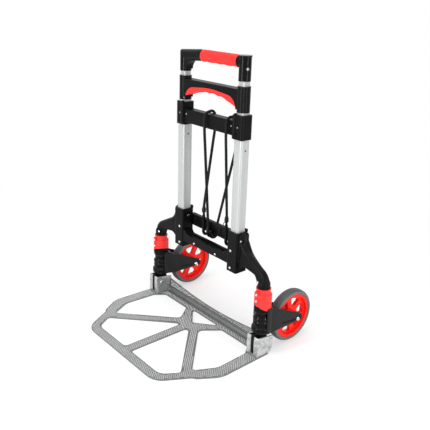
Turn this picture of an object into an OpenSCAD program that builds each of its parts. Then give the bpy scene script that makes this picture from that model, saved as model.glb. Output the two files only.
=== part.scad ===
// Folding hand truck with a two-stage handle, swivelling wheels and a hinged toe plate.
// Millimetres, +Z up. The floor is z = 0 and x = 0 is the plane of symmetry.

/* [Rails] */
// Distance from the centre plane to each rail's axis
rail_x = 105; // [95:1:115]
// Outside width of the square rail tube
rail_w = 27; // [26:0.5:30]
// Corner radius of the rail tube
rail_r = 5; // [4:0.5:7]
// Wall of the rail tube
rail_wall = 1.7; // [1.5:0.1:2]
// Height of the rails' lower ends above the floor
rail_foot_z = 190; // [188:1:204]
// Height of the rails' upper ends above the floor
rail_top_z = 548; // [535:1:560]
// Height of the latch hole near the top of each rail
latch_z = 484; // [470:1:500]
// Diameter of the latch holes
latch_d = 5; // [4:0.5:6]

/* [Handles] */
// Wall of the middle tube
mid_wall = 1.7; // [1.4:0.1:2]
// Wall of the inner tube
inner_wall = 1.5; // [1.2:0.1:1.8]
// Running gap on each side between telescoping tubes
slide_gap = 0.3; // [0.3:0.05:0.4]
// Height of the middle handle's lower face when it is pushed down
mid_z = 570; // [569:1:575]
// Height of the middle handle's collars
mid_h = 58; // [52:1:62]
// Diameter of the middle handle's collars
mid_d = 30; // [29:0.5:33]
// Length of the middle tubes below the handle
mid_reach = 285; // [270:5:290]
// Height of the black part over the crown of the middle grip's arch
mid_crown = 19; // [16:0.5:22]
// Height of the arch's crown above its shoulders
arch_rise = 8; // [6:0.5:12]
// Radius of the arch's shoulders
arch_round = 30; // [20:1:36]
// Thickness of the middle grip at its crown
mid_grip_t = 11; // [8:0.5:13]
// Drop of the middle grip's lower edge from its crown to its ends
mid_grip_drop = 17; // [12:0.5:22]
// Depth of the yoke's upper face below the collars' upper faces
yoke_drop = 7; // [4:0.5:9]
// Height of the top handle's lower face above the middle handle
top_gap = 11; // [10:0.5:16]
// Diameter of the top handle's posts and elbow
post_d = 28; // [27:0.5:31]
// Height of the top handle from its posts' lower faces to its top
top_h = 55; // [50:1:60]
// Length of the inner tubes below the top handle
inner_reach = 300; // [270:5:320]
// Diameter of the top grip
grip_d = 28; // [26:0.5:30]
// Depth of the finger hollows in both grips
finger_t = 2.2; // [1.5:0.1:2.5]
// Place of the top grip's left end, measured from the centre plane
grip_left = 35; // [30:1:50]
// Place of the top grip's right end, measured from the centre plane
grip_right = 88; // [75:1:89]
// Diameter of the metal tube through the top grip
core_d = 20; // [18:0.5:21]
// Wall of the metal tube through the top grip
core_wall = 1.6; // [1.2:0.1:2]

/* [Top bridge] */
// Outside width of the collars on the rails
collar_w = 33; // [32:0.5:37]
// Height of the collars' lower faces
collar_z = 509; // [505:1:512]
// Height of the collars
collar_h = 56; // [52:1:58]
// Height of the bridge bar
bridge_h = 34; // [30:1:36]
// Height of the bridge bar's lower face above the collars' lower faces
bridge_lift = 6; // [4:0.5:8]
// Depth of the bridge bar, front to back
bridge_t = 25; // [20:1:27]
// Diameter of the lock buttons
button_d = 6; // [5:0.5:7]
// Travel of the lock buttons
button_travel = 3; // [2:0.5:4]

/* [Shoulders] */
// Width of the box round each rail's lower end
box_w = 35; // [34:0.5:38]
// Depth of the box round each rail's lower end
box_t = 36; // [34:0.5:40]
// Height of the boxes' lower faces
box_z = 182; // [178:1:186]
// Height of the boxes
box_h = 103; // [98:1:108]
// Distance from the centre plane to each leg's axis
leg_x = 205; // [200:1:210]
// Distance of the leg axes in front of the rail axes
leg_front = 3; // [0:0.5:5]
// Diameter of the round end over each leg
boss_d = 31; // [30:0.5:33]
// Height of the round end's lower face
boss_z = 176; // [174:1:180]
// Radius of the bend in the shoulder's rounded rim
rim_bend = 28; // [24:1:30]
// Radius of the shoulder's rounded rim
rim_r = 9; // [8:0.5:10]
// Slope of the shoulder
rim_slope = 28; // [24:1:32]
// Thickness of the shoulder's web
web_t = 15; // [12:0.5:18]

/* [Cross members] */
// Height of the rear beam's lower face
beam_z = 236; // [232:1:240]
// Height of the rear beam
beam_h = 31; // [26:1:34]
// Thickness of the rear beam
beam_t = 10; // [8:0.5:12]
// Height of the lower crossbar's lower face
bar_z = 199; // [196:1:202]
// Height of the lower crossbar
bar_h = 21; // [18:1:24]
// Depth of the lower crossbar, front to back
bar_t = 26; // [22:1:30]
// Diameter of the rivet heads
rivet_d = 7; // [6:0.5:8]
// Height of the rivet heads
rivet_h = 1.6; // [1.2:0.1:2]
// Diameter of the bungee cords
cord_d = 7; // [5:0.5:8]

/* [Legs] */
// Outside diameter of the leg tube
leg_d = 22; // [20:0.5:24]
// Wall of the leg tube
leg_wall = 1.8; // [1.5:0.1:2.5]
// Height of the cuffs' slanting lower edge on the leg's axis
cuff_z = 130; // [129:0.5:132]
// Slant of the cuffs' lower edge
cuff_slant = 25; // [18:1:26]
// Height of the step between the cuffs' two rings
cuff_step_z = 160; // [157:0.5:162]
// Height of the black sleeves' lower faces
sleeve_z = 117; // [116:0.5:118]
// Diameter of the cuffs' lower ring
cuff_d = 42; // [40:0.5:42]
// Diameter of the cuffs' upper ring
cuff_top_d = 36; // [34:0.5:38]
// Diameter of the wheel carrier's barrel at its waist
barrel_d = 32; // [30:0.5:34]
// Diameter of the barrel's lower ring
rib_d = 43; // [43:0.5:45]
// Height of the barrel's lower ring
ring_h = 14; // [12:0.5:16]
// Height of the barrel's lower face
barrel_z = 62; // [61.5:0.5:66]

/* [Wheels] */
// Radius of the wheels
wheel_r = 68; // [62:1:69]
// Width of the tyres
tyre_w = 26; // [22:1:28]
// Depth of the tyre tread from the rim to the floor
tyre_t = 11; // [8:0.5:14]
// Distance of the wheel axles behind the leg axes
wheel_back = 102; // [98:1:108]
// Distance of the wheels' middle planes inside the leg axes
wheel_in = 4; // [0:0.5:5]
// Diameter of the axles
axle_d = 8; // [6:0.5:10]
// Diameter of the wheel hubs
hub_d = 28; // [24:1:32]
// Width of the wheel hubs
hub_w = 34; // [30:1:38]
// Number of spokes in each wheel
spokes = 6; // [5:1:7]
// Width of the spokes
spoke_t = 14; // [12:1:18]
// Outside width of the wheel fork
fork_w = 58; // [54:1:60]
// Thickness of the fork's arms
fork_t = 4; // [3:0.5:5]
// Height of the fork's neck above the barrel's lower face
fork_h = 65; // [62:1:73]

/* [Toe plate] */
// Thickness of the toe plate
plate_t = 3; // [2:0.5:4]
// Half width of the toe plate
plate_x = 224; // [222:1:232]
// Distance of the toe plate's front edge in front of the rail axes
plate_front = 275; // [265:1:290]
// Distance of the toe plate's rear face behind the rail axes
plate_rear = 20; // [18:0.5:22]
// Inside radius of the fold at the toe plate's rear
fold_r = 8; // [6:0.5:10]
// Height of the rear flange on the centre plane
flange_h = 22.5; // [18:0.5:26]
// Height of the rear flange at the hinge ears
flange_end_h = 38; // [32:0.5:42]
// Width of the plate's rim
plate_rim = 29; // [24:1:34]
// Width of the middle spoke
spoke_w = 26; // [22:1:30]

/* [Hinges] */
// Outside width of the hinge ears
ear_w = 36; // [35:0.5:40]
// Thickness of the ears' walls
ear_t = 3; // [2.5:0.5:3.5]
// Distance of the ears' front faces in front of the rail axes
ear_front = 30.5; // [30:0.5:33]
// Depth of the shallow pocket in the plate that locates each ear
ear_sink = 0.4; // [0.3:0.1:0.8]
// Height of the ears at the front
ear_h = 54.5; // [50:0.5:55]
// Height of the ears at the back
ear_back_h = 47; // [44:0.5:50]
// Width of the slot between the ears' front lips
slot_w = 10.5; // [9:0.5:13]
// Distance of the hinge pins in front of the rail axes
pin_front = 14; // [13.5:0.5:15]
// Height of the hinge pins
pin_z = 35; // [34.5:0.5:36]
// Diameter of the hinge pins
pin_d = 8; // [6:0.5:9]

/* [Fits] */
// Clearance between fixed pieces that are pushed together
seat = 0.05; // [0.02:0.01:0.1]
// Clearance on the radius of a shaft in its bearing
run = 0.05; // [0.03:0.01:0.08]
// Gap between moving pieces that pass each other
pass_gap = 0.4; // [0.3:0.05:0.5]

/* [Hidden] */
$fn = 48;
eps = 0.01;

// The model is moved so that its footprint is centred on the origin.
wheel_y = wheel_back - leg_front;
centre_y = (plate_front - wheel_y - wheel_r) / 2;

mid_w = rail_w - 2 * rail_wall - 2 * slide_gap;
mid_r = rail_r - rail_wall;
inner_w = mid_w - 2 * mid_wall - 2 * slide_gap;
inner_r = mid_r - 1;
mid_top_z = mid_z + mid_h;
top_z = mid_top_z + top_gap;
top_end_z = top_z + top_h;
grip_z = top_end_z - post_d / 2;
arch_half = rail_x - mid_d / 2 + 1;
arch_z = mid_top_z - mid_crown;
bridge_z = collar_z + bridge_lift;
bridge_y = -rail_w / 2 - 1 + bridge_t / 2;
boss_r = boss_d / 2;
leg_r = leg_d / 2;
cuff_end_z = boss_z - pass_gap;
barrel_h = sleeve_z - pass_gap - barrel_z;
ear_x = leg_x;
rim_d = wheel_r - tyre_t;
arm_in = fork_w / 2 - fork_t;

module place() translate([0, centre_y, 0]) children();
module on_side(s) place() if (s > 0) children(); else mirror([1, 0, 0]) children();
module at_rail() translate([rail_x, 0, 0]) children();
module at_leg() translate([leg_x, -leg_front, 0]) children();
module at_wheel() translate([leg_x - wheel_in, wheel_y, wheel_r]) children();
module along_x(h) rotate([0, 90, 0]) translate([0, 0, -h / 2]) linear_extrude(h) children();
module both() { children(); mirror([1, 0, 0]) children(); }
// An outline drawn in y and z, pushed out along x about the centre.
module side_slab(t) translate([-t / 2, 0, 0]) rotate([90, 0, 90]) linear_extrude(t) children();
// An outline drawn in x and z, pushed out along y from y0 to y1.
module front_slab(y0, y1) translate([0, y1, 0]) rotate([90, 0, 0]) linear_extrude(y1 - y0) children();

// A rounded rectangle with true arcs.
module pad(w, d, r) {
    square([w - 2 * r, d], center = true);
    square([w, d - 2 * r], center = true);
    for (i = [-1, 1], j = [-1, 1]) translate([i * (w / 2 - r), j * (d / 2 - r)]) circle(r);
}

module square_tube(w, r, wall, z0, z1) translate([0, 0, z0]) linear_extrude(z1 - z0) difference() {
    pad(w, w, r);
    pad(w - 2 * wall, w - 2 * wall, max(r - wall, 0.6));
}

module ring(d_out, d_in, z0, z1) translate([0, 0, z0]) difference() {
    cylinder(d = d_out, h = z1 - z0);
    translate([0, 0, -1]) cylinder(d = d_in, h = z1 - z0 + 2);
}

// A low domed rivet or screw head that faces the front, its seat at the given depth.
module head(x, y, z, d = rivet_d, h = rivet_h) translate([x, y, z]) rotate([90, 0, 0]) {
    cylinder(d = d, h = h * 0.4);
    translate([0, 0, h * 0.4 - eps]) cylinder(d1 = d, d2 = d * 0.6, h = h * 0.6);
}

// Corners of a polygon rounded by their own radii: each point is [x, y, radius].
function unit(v) = v / norm(v);
function corner(a, b, c, r, n) = let (
        u = unit(a - b), v = unit(c - b), half = acos(u * v) / 2,
        centre = b + unit(u + v) * r / sin(half),
        p = b + u * r / tan(half) - centre, q = b + v * r / tan(half) - centre,
        start = atan2(p.y, p.x), turn = (atan2(q.y, q.x) - start + 540) % 360 - 180)
    [for (i = [0:n]) centre + r * [cos(start + turn * i / n), sin(start + turn * i / n)]];
function rounded(pts, n = 6) = let (k = len(pts), xy = [for (p = pts) [p[0], p[1]]])
    [for (i = [0:k - 1]) each pts[i][2] > 0
        ? corner(xy[(i + k - 1) % k], xy[i], xy[(i + 1) % k], pts[i][2], n) : [xy[i]]];

black = [0.12, 0.12, 0.13];
steel = [0.78, 0.79, 0.8];
red = [0.9, 0.13, 0.1];

// ---- Rails and telescoping tubes
// The latch holes of all three tubes line up when the handle is pushed down.
module latch_hole() translate([0, 0, latch_z]) rotate([0, 90, 0])
    cylinder(d = latch_d, h = rail_w + 2, center = true);
// Bore for the blind rivet in the inner walls of a box and its rail
module rivet_bore() translate([-box_w / 2 - 1, 0, rivet_z]) rotate([0, 90, 0])
    cylinder(d = shank_d + 2 * seat, h = 1 + box_w / 2 - rail_w / 2 + rail_wall + seat);
module rail() color("gainsboro") at_rail() difference() {
    square_tube(rail_w, rail_r, rail_wall, rail_foot_z, rail_top_z);
    latch_hole();
    rivet_bore();
}
module left_rail() on_side(-1) rail();
module right_rail() on_side(1) rail();

mid_foot_z = mid_z - mid_reach;
plug_h = 14;
module mid_tube() color("gainsboro") at_rail() difference() {
    square_tube(mid_w, mid_r, mid_wall, mid_foot_z, mid_top_z);
    latch_hole();
}
module left_mid_tube() on_side(-1) mid_tube();
module right_mid_tube() on_side(1) mid_tube();

// A plastic plug closes a tube's lower end: a flange below and a stem inside.
module plug(w, r, wall, z) at_rail() translate([0, 0, z]) {
    translate([0, 0, -3]) linear_extrude(3) pad(w, w, r);
    linear_extrude(plug_h - 3) pad(w - 2 * wall - 2 * seat, w - 2 * wall - 2 * seat, max(r - wall, 0.6));
}
module mid_tube_plugs() color(black) place() both() plug(mid_w, mid_r, mid_wall, mid_foot_z);

inner_foot_z = top_z - inner_reach;
inner_top_z = grip_z - core_d / 2 - 1;
module inner_tube() color("gainsboro") at_rail() difference() {
    square_tube(inner_w, inner_r, inner_wall, inner_foot_z, inner_top_z);
    latch_hole();
}
module left_inner_tube() on_side(-1) inner_tube();
module right_inner_tube() on_side(1) inner_tube();
module inner_tube_plugs() color(black) place() both() plug(inner_w, inner_r, inner_wall, inner_foot_z);

// ---- Bridge across the rails' upper ends
column_d = button_d + 6;
column_x = collar_w / 2 - 7;
column_y = collar_w / 2 - 1.5;
button_len = 14;
screw_z = collar_z + collar_h / 2;
screw_d = 5;
screw_h = 1.2;
bridge_r = 3;
module at_column() translate([-column_x, -column_y, collar_z + collar_h]) children();
module top_bridge() color(black) place() difference() {
    union() {
        both() at_rail() {
            translate([0, 0, collar_z]) linear_extrude(collar_h) pad(collar_w, collar_w, 6);
            at_column() translate([0, 0, 2 - collar_h]) cylinder(d = column_d, h = collar_h - 2);
        }
        translate([0, bridge_y, bridge_z + bridge_h / 2])
            along_x(2 * rail_x - collar_w + 2) pad(bridge_h, bridge_t, bridge_r);
    }
    both() at_rail() {
        translate([0, 0, collar_z - 1]) linear_extrude(rail_top_z + seat - collar_z + 1)
            pad(rail_w + 2 * seat, rail_w + 2 * seat, rail_r + seat);
        translate([0, 0, collar_z]) linear_extrude(collar_h + 1)
            pad(mid_w + 2 * slide_gap, mid_w + 2 * slide_gap, mid_r + slide_gap);
        at_column() translate([0, 0, -button_len - button_travel - 1])
            cylinder(d = button_d + 2 * run, h = button_len + button_travel + 2);
    }
}
module bridge_screws() color(steel) place() {
    both() head(rail_x + 1, -collar_w / 2, screw_z, screw_d, screw_h);
    both() head(rail_x - collar_w / 2 - 6, bridge_y - bridge_t / 2, screw_z, screw_d, screw_h);
}
module rail_button() color(black) at_rail() at_column() button(button_travel + 0.2);
module left_rail_button() on_side(-1) rail_button();
module right_rail_button() on_side(1) rail_button();

// ---- Middle handle
mid_t = 24;
crown_r = 300;
// The arch's outline, drawn inwards by a distance, with its crown and shoulders rounded
module mid_arch(inset, t = mid_t) front_slab(-t / 2, t / 2) polygon(rounded([
    [-arch_half + inset, mid_z - 20, 0],
    [-arch_half + inset, arch_z - arch_rise - inset, arch_round - inset],
    [0, arch_z + 1.5 - inset, crown_r], [arch_half - inset, arch_z - arch_rise - inset, arch_round - inset],
    [arch_half - inset, mid_z - 20, 0]], 10));
fingers = 4;
finger_w = (grip_left + grip_right) / fingers;
// Width of the land left between two hollows
finger_land = 4;
finger_r = (pow((finger_w - finger_land) / 2, 2) + finger_t * finger_t) / (2 * finger_t);
// A finger's hollow, cut upwards from the origin across a grip
module finger(width) translate([0, 0, finger_t - finger_r]) rotate([90, 0, 0])
    cylinder(r = finger_r, h = width + 2, center = true, $fn = 96);
mid_grip_r = (arch_half * arch_half + mid_grip_drop * mid_grip_drop) / (2 * mid_grip_drop);
yoke_h = mid_h - yoke_drop;
// The upper lock button stands in the yoke, just inside the left collar.
lug_x = rail_x - mid_w / 2 - button_d / 2 - 2.5;
module at_lug() translate([-lug_x, -3, mid_z + yoke_h]) children();
// The collar's screw sits on the middle tube, at the bottom of its pocket.
collar_seat_y = -mid_w / 2 - seat;
module mid_handle() color(black) place() difference() {
    union() {
        both() at_rail() translate([0, 0, mid_z]) cylinder(d = mid_d, h = mid_h);
        difference() {
            translate([-rail_x, -mid_t / 2, mid_z + 6]) cube([2 * rail_x, mid_t, yoke_h - 6]);
            mid_arch(0, mid_t + 2);
        }
    }
    both() at_rail() translate([0, 0, mid_z - 1]) linear_extrude(mid_h + 2)
        pad(mid_w + 2 * seat, mid_w + 2 * seat, mid_r + seat);
    at_lug() translate([0, 0, -button_len - button_travel - 1])
        cylinder(d = button_d + 2 * run, h = button_len + button_travel + yoke_drop + 2);
    translate([-rail_x + 9, collar_seat_y, mid_z + 5]) rotate([90, 0, 0])
        cylinder(d = screw_d + 0.6, h = mid_d);
}
module mid_grip() color(red) place() difference() {
    mid_arch(seat);
    translate([0, 0, arch_z - mid_grip_t - mid_grip_r]) rotate([90, 0, 0])
        cylinder(r = mid_grip_r, h = 2 * mid_t, center = true, $fn = 240);
    // Finger hollows along the lower edge
    translate([0, 0, arch_z - mid_grip_t - mid_grip_r]) for (i = [-1.5:1.5])
        rotate([0, i * finger_w * 180 / (PI * mid_grip_r), 0]) translate([0, 0, mid_grip_r]) finger(mid_t);
    translate([-rail_x, -mid_t, 0]) cube([2 * rail_x, 2 * mid_t, arch_z - mid_grip_t - mid_grip_drop]);
}
module button(rise) translate([0, 0, -button_len]) {
    cylinder(d = button_d, h = button_len + rise - 0.8);
    translate([0, 0, button_len + rise - 0.8]) cylinder(d1 = button_d, d2 = button_d - 1.6, h = 0.8);
}
module handle_button() color(black) place() at_lug() button(yoke_drop + 1);

module collar_screw() color(steel) place() head(-rail_x + 9, collar_seat_y, mid_z + 5, screw_d, screw_h);

// ---- Top handle
elbow_fillet = 22;
elbow_t = post_d - 6;
elbow_d = post_d - 0.5;
elbow_droop = 4.5;
seam_x = -grip_left - 13;
// The steel core stops short of the elbow's drooping end and of the right post's face.
core_left = seam_x - 20;
core_right = rail_x + 6;
module handle_core() color(steel) place() translate([0, 0, grip_z]) rotate([0, 90, 0])
    ring(core_d, core_d - 2 * core_wall, core_left, core_right);
module core_bore() translate([core_left - seat, 0, grip_z]) rotate([0, 90, 0])
    cylinder(d = core_d + 2 * seat, h = core_right - core_left + 2 * seat);
module post_shell() at_rail() {
    translate([0, 0, top_z]) cylinder(d = post_d, h = top_h - 2);
    translate([0, 0, top_end_z - 2]) cylinder(d1 = post_d, d2 = post_d - 3, h = 2);
}
module post_bore() at_rail() translate([0, 0, top_z - 1]) linear_extrude(inner_top_z + seat - top_z + 1)
    pad(inner_w + 2 * seat, inner_w + 2 * seat, inner_r + seat);
module left_elbow() color(black) place() difference() {
    union() {
        translate([-rail_x, 0, top_z]) cylinder(d = post_d, h = grip_z - post_d / 4 - top_z);
        translate([seam_x - 4, 0, grip_z]) rotate([0, 90, 0])
            cylinder(d = elbow_d - 1, h = -grip_left - seat - seam_x + 4);
        // The corner is where the drooping bar meets the post.
        intersection() {
            translate([seam_x, 0, grip_z]) rotate([0, -90 - elbow_droop, 0])
                cylinder(d = elbow_d, h = 2 * rail_x);
            union() {
                translate([-rail_x, 0, top_z]) cylinder(d = post_d, h = top_h);
                translate([-rail_x, -post_d, top_z]) cube([rail_x + seam_x, 2 * post_d, top_h]);
            }
        }
        // Broad fillet between the post and the bar
        difference() {
            translate([-rail_x, -elbow_t / 2, grip_z - post_d / 2 - elbow_fillet])
                cube([post_d / 2 + elbow_fillet, elbow_t, elbow_fillet + post_d / 4]);
            translate([-rail_x + post_d / 2 + elbow_fillet, 0, grip_z - post_d / 2 - elbow_fillet])
                rotate([90, 0, 0]) cylinder(r = elbow_fillet, h = post_d, center = true);
        }
    }
    mirror([1, 0, 0]) post_bore();
    core_bore();
}
module at_post_screw() at_rail() rotate([0, 0, -20])
    translate([post_d / 2 - screw_h / 2, 0, grip_z - post_d / 2]) rotate([0, 90, 0]) children();
module post_screw() color(steel) place() at_post_screw() cylinder(d = screw_d + 1, h = screw_h);
module right_post() color(black) place() difference() {
    union() {
        post_shell();
        at_rail() translate([0, 0, top_end_z - 2.6]) cylinder(d = post_d + 2, h = 2.6);
        translate([grip_right + seat, 0, grip_z]) rotate([0, 90, 0])
            cylinder(d = post_d, h = rail_x - grip_right);
    }
    post_bore();
    core_bore();
    at_post_screw() cylinder(d = screw_d + 1.6, h = post_d);
}
module top_grip() color(red) place() difference() {
    translate([0, 0, grip_z]) rotate([0, 90, 0]) ring(grip_d, core_d + 2 * seat, -grip_left, grip_right);
    for (i = [0:fingers - 1])
        translate([(i + 0.5) * finger_w - grip_left, 0, grip_z - grip_d / 2]) finger(grip_d);
}

// ---- Shoulders: a box round each rail's foot and an arm out to the leg
rim_x = leg_x + boss_r - rim_r - rim_bend;
rim_z = boss_z + rim_r;
rim_turn = 90 - rim_slope;
rim_end = [rim_x + rim_bend * cos(rim_turn), rim_z + rim_bend * sin(rim_turn)];
box_side = rail_x + box_w / 2;
box_top = box_z + box_h;
up_x = box_side + 2;
up_z = box_top - rim_r;
// The upper bend is as large as brings the sloping rim upright at the box's top corner.
up_bend = (up_z - rim_end.y - (rim_end.x - up_x) / tan(rim_turn)) * sin(rim_turn) / (1 - cos(rim_turn));
arm_len = (rim_end.x - up_x - up_bend * (1 - cos(rim_turn))) / sin(rim_turn);
shank_d = 5;
rivet_z = box_top - 18;
cheek_t = 5;
cheek_rivet_y = -9;
// The web fills the space under the rim, from the box to the round end.
web_points = rounded(concat(
    [[rail_x, box_z + 3, 0], [box_side + 20, box_z + 25, 16], [leg_x - 24, box_z + 19, 14],
     [leg_x - boss_r + 3, boss_z + 2, 0], [leg_x, boss_z + 2, 0]],
    [for (i = [0:4]) let (a = rim_turn * i / 4) [rim_x + rim_bend * cos(a), rim_z + rim_bend * sin(a), 0]],
    [for (i = [0:4]) let (a = rim_turn * (1 - i / 4))
        [up_x + up_bend - up_bend * cos(a), up_z - up_bend * sin(a), 0]],
    [[rail_x, up_z, 0]]));
module shoulder() color(black) difference() {
    union() {
        at_rail() translate([0, 0, box_z]) linear_extrude(box_h) pad(box_w, box_t, 4);
        at_rail() for (i = [-1, 1]) translate([i * (box_w / 2 - 5), box_t / 2 - 2.5, box_top - 1])
            linear_extrude(7) pad(10, 5, 2);
        // Cheek on the box's outer side, which the arm grows out of
        translate([box_side + cheek_t / 2 - 0.5, 0, 0]) side_slab(cheek_t + 1) polygon(rounded([
            [-box_t / 2 + 5, box_z + 30, 4], [-box_t / 2 + 5, box_top + 1, 10],
            [box_t / 2 - 1, box_top + 1, 10], [box_t / 2 - 1, box_z + 30, 4]]));
        translate([0, -leg_front, 0]) {
            translate([rim_x, 0, rim_z]) rotate([90, 0, 0]) rotate_extrude(angle = rim_turn)
                translate([rim_bend, 0]) circle(rim_r);
            translate([rim_end.x, 0, rim_end.y]) rotate([0, -rim_turn, 0]) translate([0, 0, -1])
                cylinder(r = rim_r - seat, h = arm_len + 2);
            translate([up_x + up_bend, 0, up_z]) rotate([90, 0, 0]) rotate([0, 0, 180])
                rotate_extrude(angle = rim_turn) translate([up_bend, 0]) circle(rim_r);
            translate([up_x, 0, up_z]) rotate_extrude() polygon(concat([[0, 0]],
                [for (a = [0:15:75]) (rim_r - seat) * [cos(a), sin(a)]], [[0, (rim_r - seat) * sin(75)]]));
            translate([rim_x + rim_bend, 0, boss_z]) cylinder(r = rim_r - seat, h = rim_z - boss_z + 1);
            front_slab(-web_t / 2, web_t / 2) polygon(web_points);
        }
        at_leg() {
            translate([0, 0, boss_z]) cylinder(r = boss_r, h = rim_z - boss_z);
            translate([0, 0, rim_z]) sphere(r = boss_r);
        }
    }
    at_rail() translate([0, 0, rail_foot_z - seat]) linear_extrude(box_h)
        pad(rail_w + 2 * seat, rail_w + 2 * seat, rail_r + seat);
    at_leg() translate([0, 0, boss_z - boss_r])
        cylinder(r = leg_r + seat, h = leg_top_z + seat - boss_z + boss_r);
    at_leg() translate([0, 0, boss_z - boss_r - 1]) cylinder(r = boss_r + 2, h = boss_r + 1);
    at_rail() rivet_bore();
    // Pocket round the outer rivet
    translate([box_side + cheek_t, cheek_rivet_y, rivet_z]) rotate([0, 90, 0])
        cylinder(d = rivet_d + 3, h = 3 * cheek_t);
    // Flat seat for the rivet in the arm's round end
    translate([leg_x - 8, -leg_front - boss_r + 2, rim_z + 4]) rotate([90, 0, 0])
        cylinder(d = rivet_d + 1, h = boss_r);
}
module left_shoulder() on_side(-1) shoulder();
module right_shoulder() on_side(1) shoulder();

// ---- Cross members
beam_y = box_t / 2;
module rear_beam() color(black) place() difference() {
    front_slab(beam_y, beam_y + beam_t) translate([0, beam_z + beam_h / 2])
        pad(2 * rail_x - 10, beam_h, 4);
    // Shallow panels between ribs on the front face
    for (i = [-2:2]) front_slab(beam_y - 1, beam_y + 2.5) translate([i * panel_step, beam_z + beam_h / 2])
        pad(panel_step - 6, beam_h - 12, 3);
}
panel_step = (2 * rail_x - box_w) / 5;
bar_y = -leg_front;
bar_half = rail_x - box_w / 2;
module lower_crossbar() color(black) place() difference() {
    front_slab(bar_y - bar_t / 2, bar_y + bar_t / 2) polygon(rounded([
        [-bar_half + seat, bar_z, 0], [bar_half - seat, bar_z, 0], [bar_half - seat, bar_z + bar_h + 9, 0],
        [bar_half - 7, bar_z + bar_h + 9, 3], [bar_half - 13, bar_z + bar_h, 9],
        [-bar_half + 13, bar_z + bar_h, 9], [-bar_half + 7, bar_z + bar_h + 9, 3],
        [-bar_half + seat, bar_z + bar_h + 9, 0]]));
    // Long channel in the upper face
    translate([0, bar_y, bar_z + bar_h - 5]) linear_extrude(20) pad(2 * bar_half - 44, bar_t - 14, 5);
}

module frame_rivets() color(steel) place() both() {
    head(rail_x - 4, -box_t / 2, box_z + 54);
    head(rail_x - 4, -box_t / 2, box_z + 9);
    head(42, bar_y - bar_t / 2, bar_z + 6, 6, 1.4);
    head(leg_x - 8, -leg_front - boss_r + 2, rim_z + 4);
    translate([box_side + cheek_t, cheek_rivet_y, rivet_z]) rotate([0, 0, 90]) head(0, 0, 0);
    at_rail() translate([-box_w / 2, 0, rivet_z]) rotate([0, 90, 0]) {
        cylinder(d = shank_d, h = (box_w - rail_w) / 2 + rail_wall);
        translate([0, 0, -rivet_h]) cylinder(d = rivet_d, h = rivet_h);
    }
}

// ---- Legs, cuffs and feet
foot_top_z = barrel_z - 2;
leg_top_z = rim_z + 4;
module leg() color(steel) at_leg() ring(leg_d, leg_d - 2 * leg_wall, foot_top_z + seat, leg_top_z);
module left_leg() on_side(-1) leg();
module right_leg() on_side(1) leg();

cuff_neck_r = cuff_top_d / 2 - 1;
fin_w = 9;
fin_out = cuff_d / 2 + 2.5;
slant_turn = 30;
// All that lies under the cuffs' slanting edge, with the slant lowest at the outer rear
module under_slant(lift) at_leg() translate([0, 0, cuff_z + lift]) rotate([0, 0, slant_turn])
    rotate([0, cuff_slant, 0]) translate([-cuff_d, -cuff_d, -4 * cuff_d])
        cube([2 * cuff_d, 2 * cuff_d, 4 * cuff_d]);
module leg_bore() at_leg() translate([0, 0, sleeve_z - 1])
    cylinder(r = leg_r + seat, h = cuff_end_z - sleeve_z + 2);
module fin(z0, z1) translate([0, -fin_out / 2, z0]) linear_extrude(z1 - z0) pad(fin_w, fin_out, 2);
module cuff() color(red) difference() {
    at_leg() {
        rotate_extrude() polygon([[0, sleeve_z], [cuff_d / 2, sleeve_z], [cuff_d / 2, cuff_step_z],
            [cuff_d / 2 - 1.5, cuff_step_z + 2], [cuff_neck_r, cuff_step_z + 3],
            [cuff_neck_r, cuff_end_z - 4], [cuff_neck_r + 1, cuff_end_z - 3],
            [cuff_neck_r + 1, cuff_end_z], [0, cuff_end_z]]);
        fin(sleeve_z, cuff_end_z - 5);
    }
    under_slant(0);
    leg_bore();
}
module left_cuff() on_side(-1) cuff();
module right_cuff() on_side(1) cuff();
// The sleeve fills in under the cuff's slant; its fin stays clear of the fork's neck.
module sleeve() color(black) difference() {
    intersection() {
        at_leg() {
            translate([0, 0, sleeve_z]) cylinder(d = cuff_d - 1, h = cuff_end_z - sleeve_z);
            fin(fork_top_z + 2 * pass_gap, cuff_end_z);
        }
        under_slant(-seat);
    }
    leg_bore();
}
module left_sleeve() on_side(-1) sleeve();
module right_sleeve() on_side(1) sleeve();
cuff_screw_z = 146;
cuff_screw_step = 17;
module cuff_screws() color(steel) place() both() for (z = [0, cuff_screw_step])
    head(leg_x, -leg_front - fin_out, cuff_screw_z + z, 6, 1.4);

// The foot plugs into the leg tube; its narrow blade passes between the ear's lips.
blade_t = slot_w - 2 * pass_gap;
knuckle_r = ear_front - ear_t - pin_front - 1;
module foot() color(black) translate([leg_x, 0, 0]) difference() {
    union() {
        side_slab(blade_t) union() {
            intersection() {
                translate([-pin_front, pin_z]) circle(ear_reach);
                translate([-ear_front + 1, 0]) square([2 * (ear_front - 1 - leg_front), foot_top_z]);
            }
            translate([-leg_front - leg_r, pin_z]) square([leg_d, foot_top_z - pin_z]);
        }
        translate([0, -pin_front, pin_z]) rotate([0, 90, 0])
            cylinder(r = knuckle_r, h = ear_w - 2 * ear_t - 2 * pass_gap, center = true);
        translate([0, -leg_front, foot_top_z - 1]) cylinder(r = leg_r - leg_wall - seat, h = 22);
    }
    translate([0, -pin_front, pin_z]) rotate([0, 90, 0])
        cylinder(d = pin_d + 2 * run, h = ear_w, center = true);
}
// Radius about the pin within which the blade clears the ear's floor
ear_reach = pin_z - plate_t - ear_t - pass_gap;
module left_foot() on_side(-1) foot();
module right_foot() on_side(1) foot();
module thrust_washers() color(steel) place() both() at_leg()
    ring(rib_d - 4, leg_d + 2 * seat, foot_top_z + 0.1, barrel_z - pass_gap);

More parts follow.
